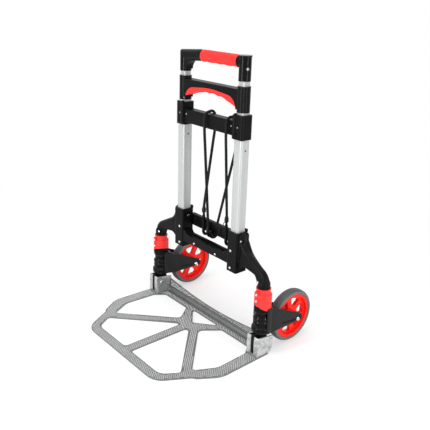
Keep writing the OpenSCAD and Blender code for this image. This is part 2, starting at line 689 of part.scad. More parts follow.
// ---- Wheel carriers
// The barrel swells to one broad rib between its lower ring and its waist.
rib_out = 3;
rib_h = barrel_h - ring_h - 8;
module barrel() color(black) at_leg() difference() {
    translate([0, 0, barrel_z]) rotate_extrude() polygon(concat(
        [[0, 0], [rib_d / 2 - 1, 0], [rib_d / 2, 1], [rib_d / 2, ring_h - 1], [rib_d / 2 - 1, ring_h]],
        [for (i = [0:16]) [barrel_d / 2 + 1.5 * (1 - i / 16) + rib_out * (1 - cos(22.5 * i)) / 2,
            ring_h + 4 + rib_h * i / 16]],
        [[cuff_d / 2 - 2, barrel_h - 1], [cuff_d / 2 - 2, barrel_h], [0, barrel_h]]));
    translate([0, 0, barrel_z - 1]) cylinder(r = leg_r + run, h = barrel_h + 2);
}
module left_barrel() on_side(-1) barrel();
module right_barrel() on_side(1) barrel();

neck_front = 4;
arm_start = 27;
fork_end_r = 16;
arm_out = fork_w / 2;
neck_r = rib_d / 2 + 1;
module fork_plan() translate([-wheel_in, 0]) difference() {
    polygon([[-arm_out, fork_reach], [-arm_out, arm_start], [wheel_in - neck_r, -neck_front],
        [wheel_in + neck_r, -neck_front], [arm_out, arm_start], [arm_out, fork_reach]]);
    polygon([[-arm_in, fork_reach + 1], [-arm_in, arm_start + 1], [wheel_in - neck_r + fork_t, 2],
        [wheel_in + neck_r - fork_t, 2], [arm_in, arm_start + 1], [arm_in, fork_reach + 1]]);
}
module fork_side() {
    polygon([[-rib_d, barrel_z], [wheel_back, barrel_z],
        [wheel_back + 0.42 * fork_end_r, wheel_r + 0.9 * fork_end_r],
        [arm_start + 10, fork_top_z - 11], [10, fork_top_z], [-rib_d, fork_top_z]]);
    translate([wheel_back, wheel_r]) circle(fork_end_r);
}
fork_reach = wheel_back + 2 * fork_end_r;
fork_top_z = barrel_z + fork_h - 1;
module fork() color(black) at_leg() intersection() {
    translate([0, 0, barrel_z]) linear_extrude(fork_h) difference() {
        union() {
            fork_plan();
            // The neck wraps the back half of the barrel.
            intersection() {
                circle(d = rib_d + 2 * fork_t);
                translate([-rib_d, -neck_front]) square(2 * rib_d);
            }
        }
        circle(d = rib_d + 2 * seat);
    }
    difference() {
        side_slab(2 * fork_w) fork_side();
        translate([0, wheel_back, wheel_r]) rotate([0, 90, 0])
            cylinder(r = axle_d / 2 + seat, h = 3 * fork_w, center = true);
        translate([-wheel_in, 0, 0]) both() translate([arm_out - groove_t, 0, 0]) rotate([90, 0, 90])
            linear_extrude(fork_t) fork_groove();
    }
}
// A long groove along each arm and a ring round the axle's head
groove_w = 4.6;
groove_t = 2.4;
groove_len = 46;
module fork_groove() {
    difference() {
        translate([wheel_back, wheel_r]) circle(axle_d / 2 + 5);
        translate([wheel_back, wheel_r]) circle(axle_d / 2 + 1.6);
    }
    translate([wheel_back - axle_d / 2 - 8, wheel_r + 2]) rotate(173)
        translate([groove_len / 2, 0]) pad(groove_len, groove_w, groove_w / 2 - eps);
}
module left_fork() on_side(-1) fork();
module right_fork() on_side(1) fork();

module axle() color(steel) at_wheel() rotate([0, 90, 0]) {
    cylinder(d = axle_d, h = fork_w + 2 * seat + eps, center = true);
    for (i = [-1, 1]) mirror([0, 0, i < 0 ? 1 : 0]) {
        translate([0, 0, fork_w / 2 + seat]) cylinder(d1 = axle_d + 2.5, d2 = axle_d, h = 2.6);
        ring(axle_d + 6, axle_d + 2 * seat, hub_w / 2 + pass_gap, arm_in - seat);
    }
}
module left_axle() on_side(-1) axle();
module right_axle() on_side(1) axle();

// ---- Wheels
module tyre() color([0.33, 0.33, 0.34]) at_wheel() rotate([0, 90, 0]) rotate_extrude()
    translate([wheel_r - tyre_t / 2, 0]) pad(tyre_t, tyre_w, 4.5);
module left_tyre() on_side(-1) tyre();
module right_tyre() on_side(1) tyre();

rim_w = tyre_w - 4;
rim_ring = 6.5;
wheel_web = 9;
window_in = hub_d / 2 + 9;
window_out = rim_d - rim_ring - 3;
// The spokes of the wheel are turned from the upright by an angle.
module wheel(turn) color(red) at_wheel() rotate([0, 90, 0]) difference() {
    rotate_extrude() {
        translate([0, -hub_w / 2]) square([hub_d / 2, hub_w]);
        translate([0, -wheel_web / 2]) square([rim_d - 2, wheel_web]);
        translate([rim_d - rim_ring - seat, -rim_w / 2]) square([rim_ring, rim_w]);
    }
    cylinder(d = axle_d + 6 + 2 * seat, h = hub_w + 2, center = true);
    for (i = [0:spokes - 1]) rotate(i * 360 / spokes - turn) linear_extrude(tyre_w, center = true)
        polygon(rounded([for (c = [[window_in, -1], [window_in, 1], [window_out, 1], [window_out, -1]])
            let (half = c[1] * (180 / spokes - asin(spoke_t / 2 / c[0])))
                [c[0] * cos(half), c[0] * sin(half), 4]]));
}
module left_wheel() on_side(-1) wheel(-5);
module right_wheel() on_side(1) wheel(19);
module wheel_bush() color("dimgray") at_wheel() rotate([0, 90, 0])
    ring(axle_d + 6, axle_d + 2 * run, -hub_w / 2 - 0.2, hub_w / 2 + 0.2);
module left_wheel_bush() on_side(-1) wheel_bush();
module right_wheel_bush() on_side(1) wheel_bush();

// ---- Toe plate
fold_y = plate_rear - plate_t - fold_r;
inner_x = plate_x - plate_rim;
front_in = plate_front - plate_rim + 4;
back_in = 12;
hub_y = 71;
flange_half = ear_x - ear_w / 2 - seat;
flange_rise = flange_end_h - flange_h;
flange_bend_r = (flange_half * flange_half + flange_rise * flange_rise) / (2 * flange_rise);
// Half of the plate's outline, from the right rear corner to the front edge, with a small step in each side
step_y = -plate_front + 75;
plate_half = [[plate_x, fold_y, 4], [plate_x + 4, -plate_front + 130, 60], [plate_x - 27, step_y + 6, 2],
    [plate_x - 36, step_y, 2], [plate_x - 79, -plate_front, 45]];
module plate_window(pts) both() polygon(rounded([for (p = pts) [p[0], -p[1], p[2]]]));
// The side windows' front edge, and the front windows' outer corners
side_front = plate_front - 92;
front_x = 132;
front_far_x = 158;
module plate_outline() difference() {
    polygon(rounded(concat(plate_half, [for (i = [len(plate_half) - 1:-1:0])
        [-plate_half[i][0], plate_half[i][1], plate_half[i][2]]]), 10));
    // Side windows
    plate_window([[74, back_in, 12], [inner_x - 25, back_in, 8], [inner_x - 4, back_in + 27, 10],
        [inner_x, side_front - 55, 40], [inner_x - 28, side_front, 7], [38, hub_y - 11, 14]]);
    // Front windows
    plate_window([[spoke_w / 2, hub_y, 8], [spoke_w / 2, front_in, 9], [front_x, front_in, 28],
        [front_far_x, front_in - 41, 9]]);
    polygon(rounded([[-54, -5, 4], [54, -5, 4], [0, -50, 7]]));
}
crease_w = 2;
crease_t = 0.6;
module toe_plate() color("darkgray") place() {
    difference() {
        linear_extrude(plate_t) plate_outline();
        // Pockets that locate the ears, and a crease along the front of the fold
        both() translate([ear_x - ear_w / 2 - seat, -ear_front - seat, plate_t - ear_sink])
            cube([ear_w + 2 * seat, 4 * ear_front, 2 * ear_sink]);
        translate([-flange_half, fold_y - 2 * crease_w, plate_t - crease_t])
            cube([2 * flange_half, crease_w, 2 * crease_t]);
    }
    difference() {
        union() {
            side_slab(2 * flange_half) intersection() {
                translate([fold_y, plate_t + fold_r]) difference() {
                    circle(plate_t + fold_r);
                    circle(fold_r);
                }
                translate([fold_y, 0]) square(plate_t + fold_r);
            }
            translate([-flange_half, plate_rear - plate_t, plate_t + fold_r])
                cube([2 * flange_half, plate_t, flange_end_h - plate_t - fold_r]);
        }
        translate([0, plate_rear, flange_h + flange_bend_r]) rotate([90, 0, 0])
            cylinder(r = flange_bend_r, h = 4 * plate_t, center = true, $fn = 200);
        // Crease along the top of the fold
        translate([-flange_half - 1, plate_rear - plate_t - crease_t, plate_t + fold_r + crease_w])
            cube([2 * flange_half + 2, 2 * crease_t, crease_w]);
    }
}

module ear_outline() polygon(rounded([[-ear_front, plate_t - ear_sink, 0], [-ear_front, ear_h, 3],
    [plate_rear, ear_back_h, 3], [plate_rear, plate_t - ear_sink, 14]]));
module ear() color("lightgray") translate([ear_x, 0, 0]) difference() {
    side_slab(ear_w) ear_outline();
    translate([-ear_w / 2 + ear_t, -ear_front + ear_t, plate_t + ear_t])
        cube([ear_w - 2 * ear_t, 100, 100]);
    translate([-slot_w / 2, -ear_front - 1, plate_t + ear_t]) cube([slot_w, ear_t + 2, 100]);
    translate([0, -pin_front, pin_z]) rotate([0, 90, 0])
        cylinder(d = pin_d + 2 * seat, h = ear_w + 2, center = true);
}
module left_ear() on_side(-1) ear();
module right_ear() on_side(1) ear();
module hinge_pin() color(steel) translate([ear_x, -pin_front, pin_z]) rotate([0, 90, 0]) {
    cylinder(d = pin_d, h = ear_w, center = true);
    for (i = [0, 1]) mirror([0, 0, i]) translate([0, 0, ear_w / 2])
        cylinder(d1 = pin_d + 4, d2 = pin_d + 1, h = 2);
}
module left_hinge_pin() on_side(-1) hinge_pin();
module right_hinge_pin() on_side(1) hinge_pin();

// ---- Bungee cords: each loops over the bridge bar and hooks under the rear beam
cord_gap = 0.3;
ferrule_d = 11;
ferrule_h = 16;
wire_d = 8.5;
// The cord turns on a radius of two diameters, so it stands off a little beside each of the bar's corners.
bend_r = 2 * cord_d;
bend_in = bridge_r + (bend_r - bridge_r - cord_d / 2 - cord_gap) / sqrt(2);
bar_front = bridge_y - bridge_t / 2 + bend_in - bend_r;
bar_back = bridge_y + bridge_t / 2 - bend_in + bend_r;
bar_low = bridge_z;
bar_high = bridge_z + bridge_h - bend_in + bend_r;
hook_front = beam_y - ferrule_d / 2 - cord_gap;
hook_back = beam_y + beam_t + ferrule_d / 2 + cord_gap;
hook_low = beam_z;
low_ferrule_z = beam_z + 3;
high_ferrule_z = beam_z + beam_h + 20;

// The way over the bar and round its corners, from the front strand at x0 to the back strand at x1
function bend(x, y, side) = [for (a = [0:18:90])
    [x, y + side * bend_r * cos(a), bar_high - bend_r + bend_r * sin(a)]];
function over_bar(x0, x1) = concat([[x0, bar_front, bar_low - 4]], bend(x0, bar_front + bend_r, -1),
    [for (i = [5:-1:0]) bend(x1, bar_back - bend_r, 1)[i]], [[x1, bar_back, bar_low - 4]]);
function way(a, b, n) = [for (i = [0:n - 1]) a + (b - a) * i / n];
// Each end rises straight out of its ferrule before it turns towards the bar.
function route(foot_a, x0, x1, foot_b) = let (top = over_bar(x0, x1), out = [0, 0, 3], k = len(top) - 1)
    concat([foot_a], way(foot_a + out, top[0], 6), top,
        [for (i = [1:6]) top[k] + (foot_b + out - top[k]) * i / 6], [foot_b]);
low_foot_z = low_ferrule_z + ferrule_h + cord_gap;
high_foot_z = high_ferrule_z + ferrule_h + cord_gap;
left_route = route([-20, hook_front, low_foot_z], -4, -9, [-38, hook_front, high_foot_z]);
right_route = route([50, hook_front, high_foot_z], 73, 78, [-9, hook_back, low_foot_z]);

// A round tube swept along points that never run along x
module swept(points, d, sides = 8) {
    k = len(points);
    rings = [for (i = [0:k - 1]) let (
            t = unit(points[min(i + 1, k - 1)] - points[max(i - 1, 0)]),
            u = unit(cross([1, 0, 0], t)), v = cross(t, u))
        for (j = [0:sides - 1]) points[i] + d / 2 * (cos(360 * j / sides) * u + sin(360 * j / sides) * v)];
    polyhedron(rings, concat(
        [[for (j = [0:sides - 1]) j]],
        [for (i = [0:k - 2], j = [0:sides - 1]) let (n = (j + 1) % sides)
            [i * sides + n, i * sides + j, (i + 1) * sides + j, (i + 1) * sides + n]],
        [[for (j = [sides - 1:-1:0]) (k - 1) * sides + j]]), convexity = 6);
}
module left_bungee() color(black) place() swept(left_route, cord_d);
module right_bungee() color(black) place() swept(right_route, cord_d);

// Each hook as [x, 1 for the front or -1 for the back, height of its ferrule]
hooks = [[-20, 1, low_ferrule_z], [-38, 1, high_ferrule_z], [50, 1, high_ferrule_z],
    [-9, -1, low_ferrule_z]];
module at_hook(h) translate([h[0], beam_y + beam_t / 2, 0]) mirror([0, h[1] > 0 ? 0 : 1, 0]) children();
hook_r = beam_t / 2 + ferrule_d / 2 + cord_gap;
module bungee_ferrules() color(black) place() for (h = hooks) at_hook(h)
    translate([0, -hook_r, h[2]]) rotate_extrude() polygon([[0, 0], [wire_d / 2, 0], [ferrule_d / 2, 3],
        [ferrule_d / 2, ferrule_h - 6], [cord_d / 2 + 1, ferrule_h], [0, ferrule_h]]);
module bungee_hooks() color(steel) place() for (h = hooks) at_hook(h) {
    translate([0, -hook_r, hook_low]) cylinder(d = wire_d, h = h[2] - hook_low);
    translate([0, 0, hook_low]) rotate([0, 90, 0]) rotate([0, 0, -90]) rotate_extrude(angle = 180)
        translate([hook_r, 0]) circle(d = wire_d);
    translate([0, hook_r, hook_low]) cylinder(d = wire_d, h = 12);
}

left_rail();
right_rail();
top_bridge();
bridge_screws();
left_shoulder();
right_shoulder();
rear_beam();
lower_crossbar();
frame_rivets();
left_leg();
right_leg();
left_cuff();
right_cuff();
left_sleeve();
right_sleeve();
cuff_screws();
left_foot();
right_foot();
thrust_washers();
left_bungee();
right_bungee();
bungee_ferrules();
bungee_hooks();
left_mid_tube();
right_mid_tube();
mid_tube_plugs();
mid_handle();
mid_grip();
left_inner_tube();
right_inner_tube();
inner_tube_plugs();
left_elbow();
right_post();
handle_core();
top_grip();
post_screw();
collar_screw();
left_rail_button();
right_rail_button();
handle_button();
left_barrel();
right_barrel();
left_fork();
right_fork();
left_axle();
right_axle();
left_tyre();
right_tyre();
left_wheel();
right_wheel();
left_wheel_bush();
right_wheel_bush();
toe_plate();
left_ear();
right_ear();
left_hinge_pin();
right_hinge_pin();
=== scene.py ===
import math

import bmesh
import bpy
from mathutils import Matrix, Vector
from mathutils.bvhtree import BVHTree


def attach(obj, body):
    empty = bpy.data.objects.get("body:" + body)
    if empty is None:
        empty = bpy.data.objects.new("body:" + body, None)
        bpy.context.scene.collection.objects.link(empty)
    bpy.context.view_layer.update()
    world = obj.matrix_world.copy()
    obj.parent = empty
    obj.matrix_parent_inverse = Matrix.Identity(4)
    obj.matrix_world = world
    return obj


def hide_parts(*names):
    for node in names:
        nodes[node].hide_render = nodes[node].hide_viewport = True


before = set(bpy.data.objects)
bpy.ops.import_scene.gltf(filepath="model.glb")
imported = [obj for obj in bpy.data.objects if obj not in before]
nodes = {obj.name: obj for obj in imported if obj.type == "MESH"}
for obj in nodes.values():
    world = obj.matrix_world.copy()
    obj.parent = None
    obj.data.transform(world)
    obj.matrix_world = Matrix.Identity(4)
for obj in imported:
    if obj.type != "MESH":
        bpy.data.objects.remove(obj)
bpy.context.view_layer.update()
mm = 0.001
middleY = 54.0  # the rails' own y = 0 stands this far back from the middle of the footprint
print("frame loaded:", len(nodes), "nodes")

cameraSetup = {
    "place": (1.0849, -0.8708, 0.8241),
    "azimuth": 49.03,
    "elevation": 20.39,
    "roll": 1.76,
    "lens": 50.66,
    "sensor": 36,
}


def makeCamera(s):
    a, e, r = (math.radians(s[k]) for k in ("azimuth", "elevation", "roll"))
    ahead = Vector((-math.sin(a) * math.cos(e), math.cos(a) * math.cos(e), -math.sin(e)))
    side = Vector((math.cos(a), math.sin(a), 0))
    up = side.cross(ahead)
    right = math.cos(r) * side + math.sin(r) * up
    top = -math.sin(r) * side + math.cos(r) * up
    data = bpy.data.cameras.new("camera")
    data.lens = s["lens"]
    data.sensor_width = s["sensor"]
    camera = bpy.data.objects.new("camera", data)
    turn = Matrix((right, top, -ahead)).transposed().to_4x4()
    camera.matrix_world = Matrix.Translation(s["place"]) @ turn
    bpy.context.scene.collection.objects.link(camera)
    bpy.context.scene.camera = camera


makeCamera(cameraSetup)


# small mesh tools; sizes are in mm and measured from the rails until a mesh is made
def meshPiece(name, verts, faces, body, slot, smooth=True):
    mesh = bpy.data.meshes.new(name)
    mesh.from_pydata([(x * mm, (y + middleY) * mm, z * mm) for x, y, z in verts], [], faces)
    mesh.validate()
    bm = bmesh.new()
    bm.from_mesh(mesh)
    bmesh.ops.recalc_face_normals(bm, faces=bm.faces)
    bm.to_mesh(mesh)
    bm.free()
    mesh.polygons.foreach_set("use_smooth", [smooth] * len(mesh.polygons))
    piece = bpy.data.objects.new(name, mesh)
    bpy.context.scene.collection.objects.link(piece)
    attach(piece, body)
    return piece


def smoothWay(points, step):
    # a Catmull-Rom curve through the points, cut into steps of about the same length
    pts = [Vector(p) for p in points]
    pts = [2 * pts[0] - pts[1]] + pts + [2 * pts[-1] - pts[-2]]
    way = []
    for i in range(1, len(pts) - 2):
        a, b, c, d = pts[i - 1:i + 3]
        count = max(1, round((c - b).length / step))
        for k in range(count):
            t = k / count
            way.append(0.5 * (2 * b + (c - a) * t + (2 * a - 5 * b + 4 * c - d) * t * t
                              + (3 * b - a - 3 * c + d) * t ** 3))
    return way + [pts[-2]]


def wayLength(way):
    return sum((b - a).length for a, b in zip(way, way[1:]))


def sweep(way, radius, sides, first=0):
    # rings of points round a way, closed at both ends; radius is called with the distance and the angle
    verts, faces, gone = [], [], 0.0
    across = Vector((1, 0, 0))
    for i, point in enumerate(way):
        ahead = (way[min(i + 1, len(way) - 1)] - way[max(i - 1, 0)]).normalized()
        across = (across - ahead * across.dot(ahead)).normalized()
        other = ahead.cross(across)
        gone += (point - way[i - 1]).length if i else 0
        for k in range(sides):
            turn = 2 * math.pi * k / sides
            verts.append(point + radius(gone, turn) * (math.cos(turn) * across + math.sin(turn) * other))
    for i in range(len(way) - 1):
        for k in range(sides):
            a, b = first + i * sides + k, first + i * sides + (k + 1) % sides
            faces.append((a, b, b + sides, a + sides))
    faces.append(tuple(first + k for k in range(sides)))
    faces.append(tuple(first + (len(way) - 1) * sides + k for k in range(sides)))
    return verts, faces


def lathe(profile, steps, axis, centre, first=0, closed=False):
    # profile holds (radius, distance along the axis); the axis is "x" or "z"
    verts, faces = [], []
    for i in range(steps):
        turn = 2 * math.pi * i / steps
        c, s = math.cos(turn), math.sin(turn)
        for r, h in profile:
            spot = (h, r * c, r * s) if axis == "x" else (r * c, r * s, h)
            verts.append(tuple(centre[k] + spot[k] for k in range(3)))
    n = len(profile)
    for i in range(steps):
        j = (i + 1) % steps
        for k in range(n if closed else n - 1):
            m = (k + 1) % n
            faces.append(tuple(first + q for q in (i * n + k, i * n + m, j * n + m, j * n + k)))
    return verts, faces


# the two bungee cords and their hooks come before the other pieces
bungee = {
    "cordWidth": 7.0,
    "braidDepth": 0.3,
    "braidStep": 8.0,
    "braidStrands": 4,
    "sides": 16, "step": 1.0,
    # the way over the bridge: its faces, how far the cord runs on below them, and the bends at the top
    "barFront": -20.41, "barBack": 16.41, "barLow": 515.0, "barHigh": 554.91, "runOn": 4,
    "bendRadius": 14.0, "bendStep": 18,
    # the straight stretches down to the hooks
    "hookFront": 12.2, "hookBack": 33.8, "lowFoot": 255.3, "highFoot": 303.3, "rise": 3, "parts": 6,
}
hookSizes = {
    "beamMiddle": 23.0, "bendHeight": 236.0, "reach": 10.8, "wire": 8.2, "upturn": 11.0, "sides": 14,
    "neckParts": 8, "bendStep": 15, "upturnParts": 6, "step": 1.5,
    # the knob at the tip, and the blunt end after it
    "knob": 5.0, "knobFromTip": 4.5, "knobReach": 5.5, "bluntLength": 0.8, "bluntBy": 1.6,
    # the high hooks' wire is slimmer just under the ferrule
    "highFrom": 260, "slimBy": 1.5, "slimAt": 4, "slimReach": 5,
    # radius and height of the ferrule, from its foot over three ribs to the top
    "ferrule": [(0.1, 0), (3.4, 0), (4.7, 1.4), (5.5, 3.2), (5.5, 5.0), (4.8, 5.6), (5.5, 6.2), (5.5, 7.6),
                (4.8, 8.2), (5.5, 8.8), (5.5, 10.2), (4.5, 12.4), (4.2, 15.2), (3.4, 16.0), (0.1, 16.0)],
    "ferruleSteps": 24,
    # the bright wire eye on one hook's neck
    "eyeAt": 50, "eye": 4.4, "eyeStretch": 1.35, "eyeWire": 0.75, "eyeSteps": 24, "eyeSides": 8,
    "eyeAside": 3.6, "eyeAhead": 2.6, "eyeDrop": 6.5,
}


def cordRoute(footA, x0, x1, footB):
    s = bungee
    r, parts = s["bendRadius"], s["parts"]
    low = s["barLow"] - s["runOn"]
    arc = [(math.cos(math.radians(a)), math.sin(math.radians(a))) for a in range(0, 91, s["bendStep"])]
    over = [(x0, s["barFront"], low)]
    over += [(x0, s["barFront"] + r - r * c, s["barHigh"] - r + r * h) for c, h in arc]
    over += [(x1, s["barBack"] - r + r * c, s["barHigh"] - r + r * h) for c, h in reversed(arc)]
    over += [(x1, s["barBack"], low)]
    over = [Vector(p) for p in over]
    a, b = Vector(footA), Vector(footB)
    lift = Vector((0, 0, s["rise"]))
    up = [a] + [a + lift + (over[0] - a - lift) * i / parts for i in range(parts)]
    down = [over[-1] + (b + lift - over[-1]) * i / parts for i in range(1, parts + 1)] + [b]
    return up + over + down


def makeCord(name, node, ends, width):
    s = bungee
    way = smoothWay(cordRoute(*ends), s["step"])
    strands, step = s["braidStrands"], s["braidStep"]

    def radius(gone, turn):
        twist = 2 * math.pi * gone / step
        weave = math.cos(strands * turn + twist) * math.cos(strands * turn - twist)
        return width / 2 - s["braidDepth"] * (0.5 - 0.5 * weave)

    piece = meshPiece(name, *sweep(way, radius, s["sides"]), "frame", "elastic_cord")
    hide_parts(node)
    return piece, way


def hookWay(x, side, top):
    s = hookSizes
    middle, reach = s["beamMiddle"], s["reach"] * side
    foot, neck, end = s["bendHeight"], s["neckParts"], s["upturnParts"]
    way = [(x, middle - reach, top - (top - foot) * i / neck) for i in range(neck + 1)]
    for a in range(s["bendStep"], 181, s["bendStep"]):
        t = math.radians(a)
        way.append((x, middle - reach * math.cos(t), foot - s["reach"] * math.sin(t)))
    way += [(x, middle + reach, foot + s["upturn"] * i / end) for i in range(1, end + 1)]
    return smoothWay(way, s["step"])


def makeHooks(name, hooks):
    s = hookSizes
    verts, faces, kinds = [], [], []

    def add(more, quads, kind):
        verts.extend(more)
        faces.extend(quads)
        kinds.extend([kind] * len(quads))

    for x, side, low in hooks:
        way = hookWay(x, side, low)
        total = wayLength(way)

        def radius(gone, turn):
            end = max(0.0, 1 - abs(total - s["knobFromTip"] - gone) / s["knobReach"])
            wire = s["wire"] / 2 + (s["knob"] - s["wire"] / 2) * math.sqrt(end)
            if low > s["highFrom"]:
                wire -= s["slimBy"] * max(0.0, 1 - abs(gone - s["slimAt"]) / s["slimReach"])
            return wire - (s["bluntBy"] if total - gone < s["bluntLength"] else 0)

        add(*sweep(way, radius, s["sides"], len(verts)), 0)
        foot = (x, s["beamMiddle"] - s["reach"] * side, low)
        add(*lathe(s["ferrule"], s["ferruleSteps"], "z", foot, len(verts)), 0)
        if x != s["eyeAt"]:
            continue
        ring = []
        for i in range(s["eyeSteps"]):
            t = 2 * math.pi * i / s["eyeSteps"]
            ring.append(Vector((x - s["eyeAside"] + s["eye"] * math.sin(t),
                                s["beamMiddle"] - (s["reach"] + s["eyeAhead"]) * side,
                                low - s["eyeDrop"] + s["eyeStretch"] * s["eye"] * math.cos(t))))
        add(*sweep(ring + ring[:1], lambda gone, turn: s["eyeWire"], s["eyeSides"], len(verts)), 1)
    piece = meshPiece(name, verts, faces, "frame", "coated_steel")
    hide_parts("bungee_hooks", "bungee_ferrules")
    piece.data.polygons.foreach_set("material_index", kinds)
    return piece


# a cord's first foot, its x before and behind the bridge, and its other foot
cordEnds = {
    "left": ((-20, bungee["hookFront"], bungee["lowFoot"]), -4, -9,
             (-38, bungee["hookFront"], bungee["highFoot"])),
    "right": ((50, bungee["hookFront"], bungee["highFoot"]), 73, 78,
              (-9, bungee["hookBack"], bungee["lowFoot"])),
}
# x, the side of the beam that the hook hangs on (1 front, -1 back), and the ferrule's foot
hookPlaces = {"left": [(-20, 1, 239.0), (-38, 1, 287.0)], "right": [(50, 1, 287.0), (-9, -1, 239.0)]}
cordPieces, hookPieces = {}, {}
for side, ends in cordEnds.items():
    cordPieces[side], cordWay = makeCord(side + "Cord", side + "_bungee", ends, bungee["cordWidth"])
    hookPieces[side] = makeHooks(side + "Hooks", hookPlaces[side])


stageSetup = {
    "floorColour": (0.93, 0.93, 0.93),
    "floorHalf": 60.0,
    "fadeFrom": 0.3,
    "fadeTo": 1.4,
    "leastWhite": 0.5,
    "floorRough": 0.9,
    "worldLight": 0.72,
    "lamps": {
        # name: (place, width, height, power, aimed at)
        "overhead": ((0.1, -0.2, 2.4), 1.6, 1.6, 26, (0, 0, 0.2)),
        "frontStrip": ((-0.07, -1.5, 0.45), 0.16, 0.85, 14, (0, 0, 0.4)),
        "sideStrip": ((1.5, 0.17, 0.45), 0.13, 0.85, 8, (0, 0, 0.4)),
    },
}


def addNode(tree, kind, inputs=None, **settings):
    node = tree.nodes.new("ShaderNode" + kind)
    for key, value in settings.items():
        setattr(node, key, value)
    for key, value in (inputs or {}).items():
        if isinstance(value, bpy.types.NodeSocket):
            tree.links.new(value, node.inputs[key])
        else:
            node.inputs[key].default_value = value
    return node


def mathNode(tree, operation, *values):
    return addNode(tree, "Math", dict(enumerate(values)), operation=operation).outputs[0]


def rangeNode(tree, value, low, high, toLow=0.0, toHigh=1.0):
    return addNode(tree, "MapRange", {"Value": value, "From Min": low, "From Max": high,
                                      "To Min": toLow, "To Max": toHigh}).outputs[0]


def mixColors(tree, factor, a, b):
    node = addNode(tree, "Mix", data_type="RGBA")
    for socket, value in ((node.inputs[0], factor), (node.inputs[6], a), (node.inputs[7], b)):
        if isinstance(value, bpy.types.NodeSocket):
            tree.links.new(value, socket)
        else:
            socket.default_value = (*value, 1)
    return node.outputs[2]


def seenRays(tree):
    path = addNode(tree, "LightPath")
    seen = mathNode(tree, "MAXIMUM", path.outputs["Is Camera Ray"], path.outputs["Is Glossy Ray"])
    return mathNode(tree, "MAXIMUM", seen, path.outputs["Is Transmission Ray"])


def makeStage(s):
    mesh = bpy.data.meshes.new("floor")
    h = s["floorHalf"]
    mesh.from_pydata([(-h, -h, 0), (h, -h, 0), (h, h, 0), (-h, h, 0)], [], [(0, 1, 2, 3)])
    floor = bpy.data.objects.new("floor", mesh)
    bpy.context.scene.collection.objects.link(floor)
    material = bpy.data.materials.new("paperFloor")
    material.use_nodes = True
    tree = material.node_tree
    shader = tree.nodes["Principled BSDF"]
    shader.inputs["Base Color"].default_value = (*s["floorColour"], 1)
    shader.inputs["Roughness"].default_value = s["floorRough"]
    shader.inputs["Specular IOR Level"].default_value = 0.0
    place = addNode(tree, "TexCoord").outputs["Object"]
    reach = addNode(tree, "VectorMath", {0: place}, operation="LENGTH").outputs["Value"]
    fade = rangeNode(tree, reach, s["fadeFrom"], s["fadeTo"], s["leastWhite"], 1.0)
    white = addNode(tree, "Emission", {"Color": (1, 1, 1, 1), "Strength": 1.0})
    factor = mathNode(tree, "MULTIPLY", fade, seenRays(tree))
    mix = addNode(tree, "MixShader", {0: factor, 1: shader.outputs[0], 2: white.outputs[0]})
    tree.links.new(mix.outputs[0], tree.nodes["Material Output"].inputs["Surface"])
    mesh.materials.append(material)

    world = bpy.data.worlds.new("studio")
    bpy.context.scene.world = world
    world.use_nodes = True
    tree = world.node_tree
    strength = rangeNode(tree, seenRays(tree), 0, 1, s["worldLight"], 1.0)
    ground = tree.nodes["Background"]
    ground.inputs["Color"].default_value = (1, 1, 1, 1)
    tree.links.new(strength, ground.inputs["Strength"])

    for name, (place, width, height, power, aim) in s["lamps"].items():
        lamp = bpy.data.lights.new(name, "AREA")
        lamp.energy = power
        lamp.shape = "RECTANGLE"
        lamp.size = width
        lamp.size_y = height
        holder = bpy.data.objects.new(name, lamp)
        holder.location = place
        holder.rotation_euler = (Vector(aim) - Vector(place)).to_track_quat("-Z", "Y").to_euler()
        holder.visible_camera = False
        bpy.context.scene.collection.objects.link(holder)
    bpy.context.scene.view_settings.view_transform = "Standard"


makeStage(stageSetup)
print("camera, floor and lamps set")

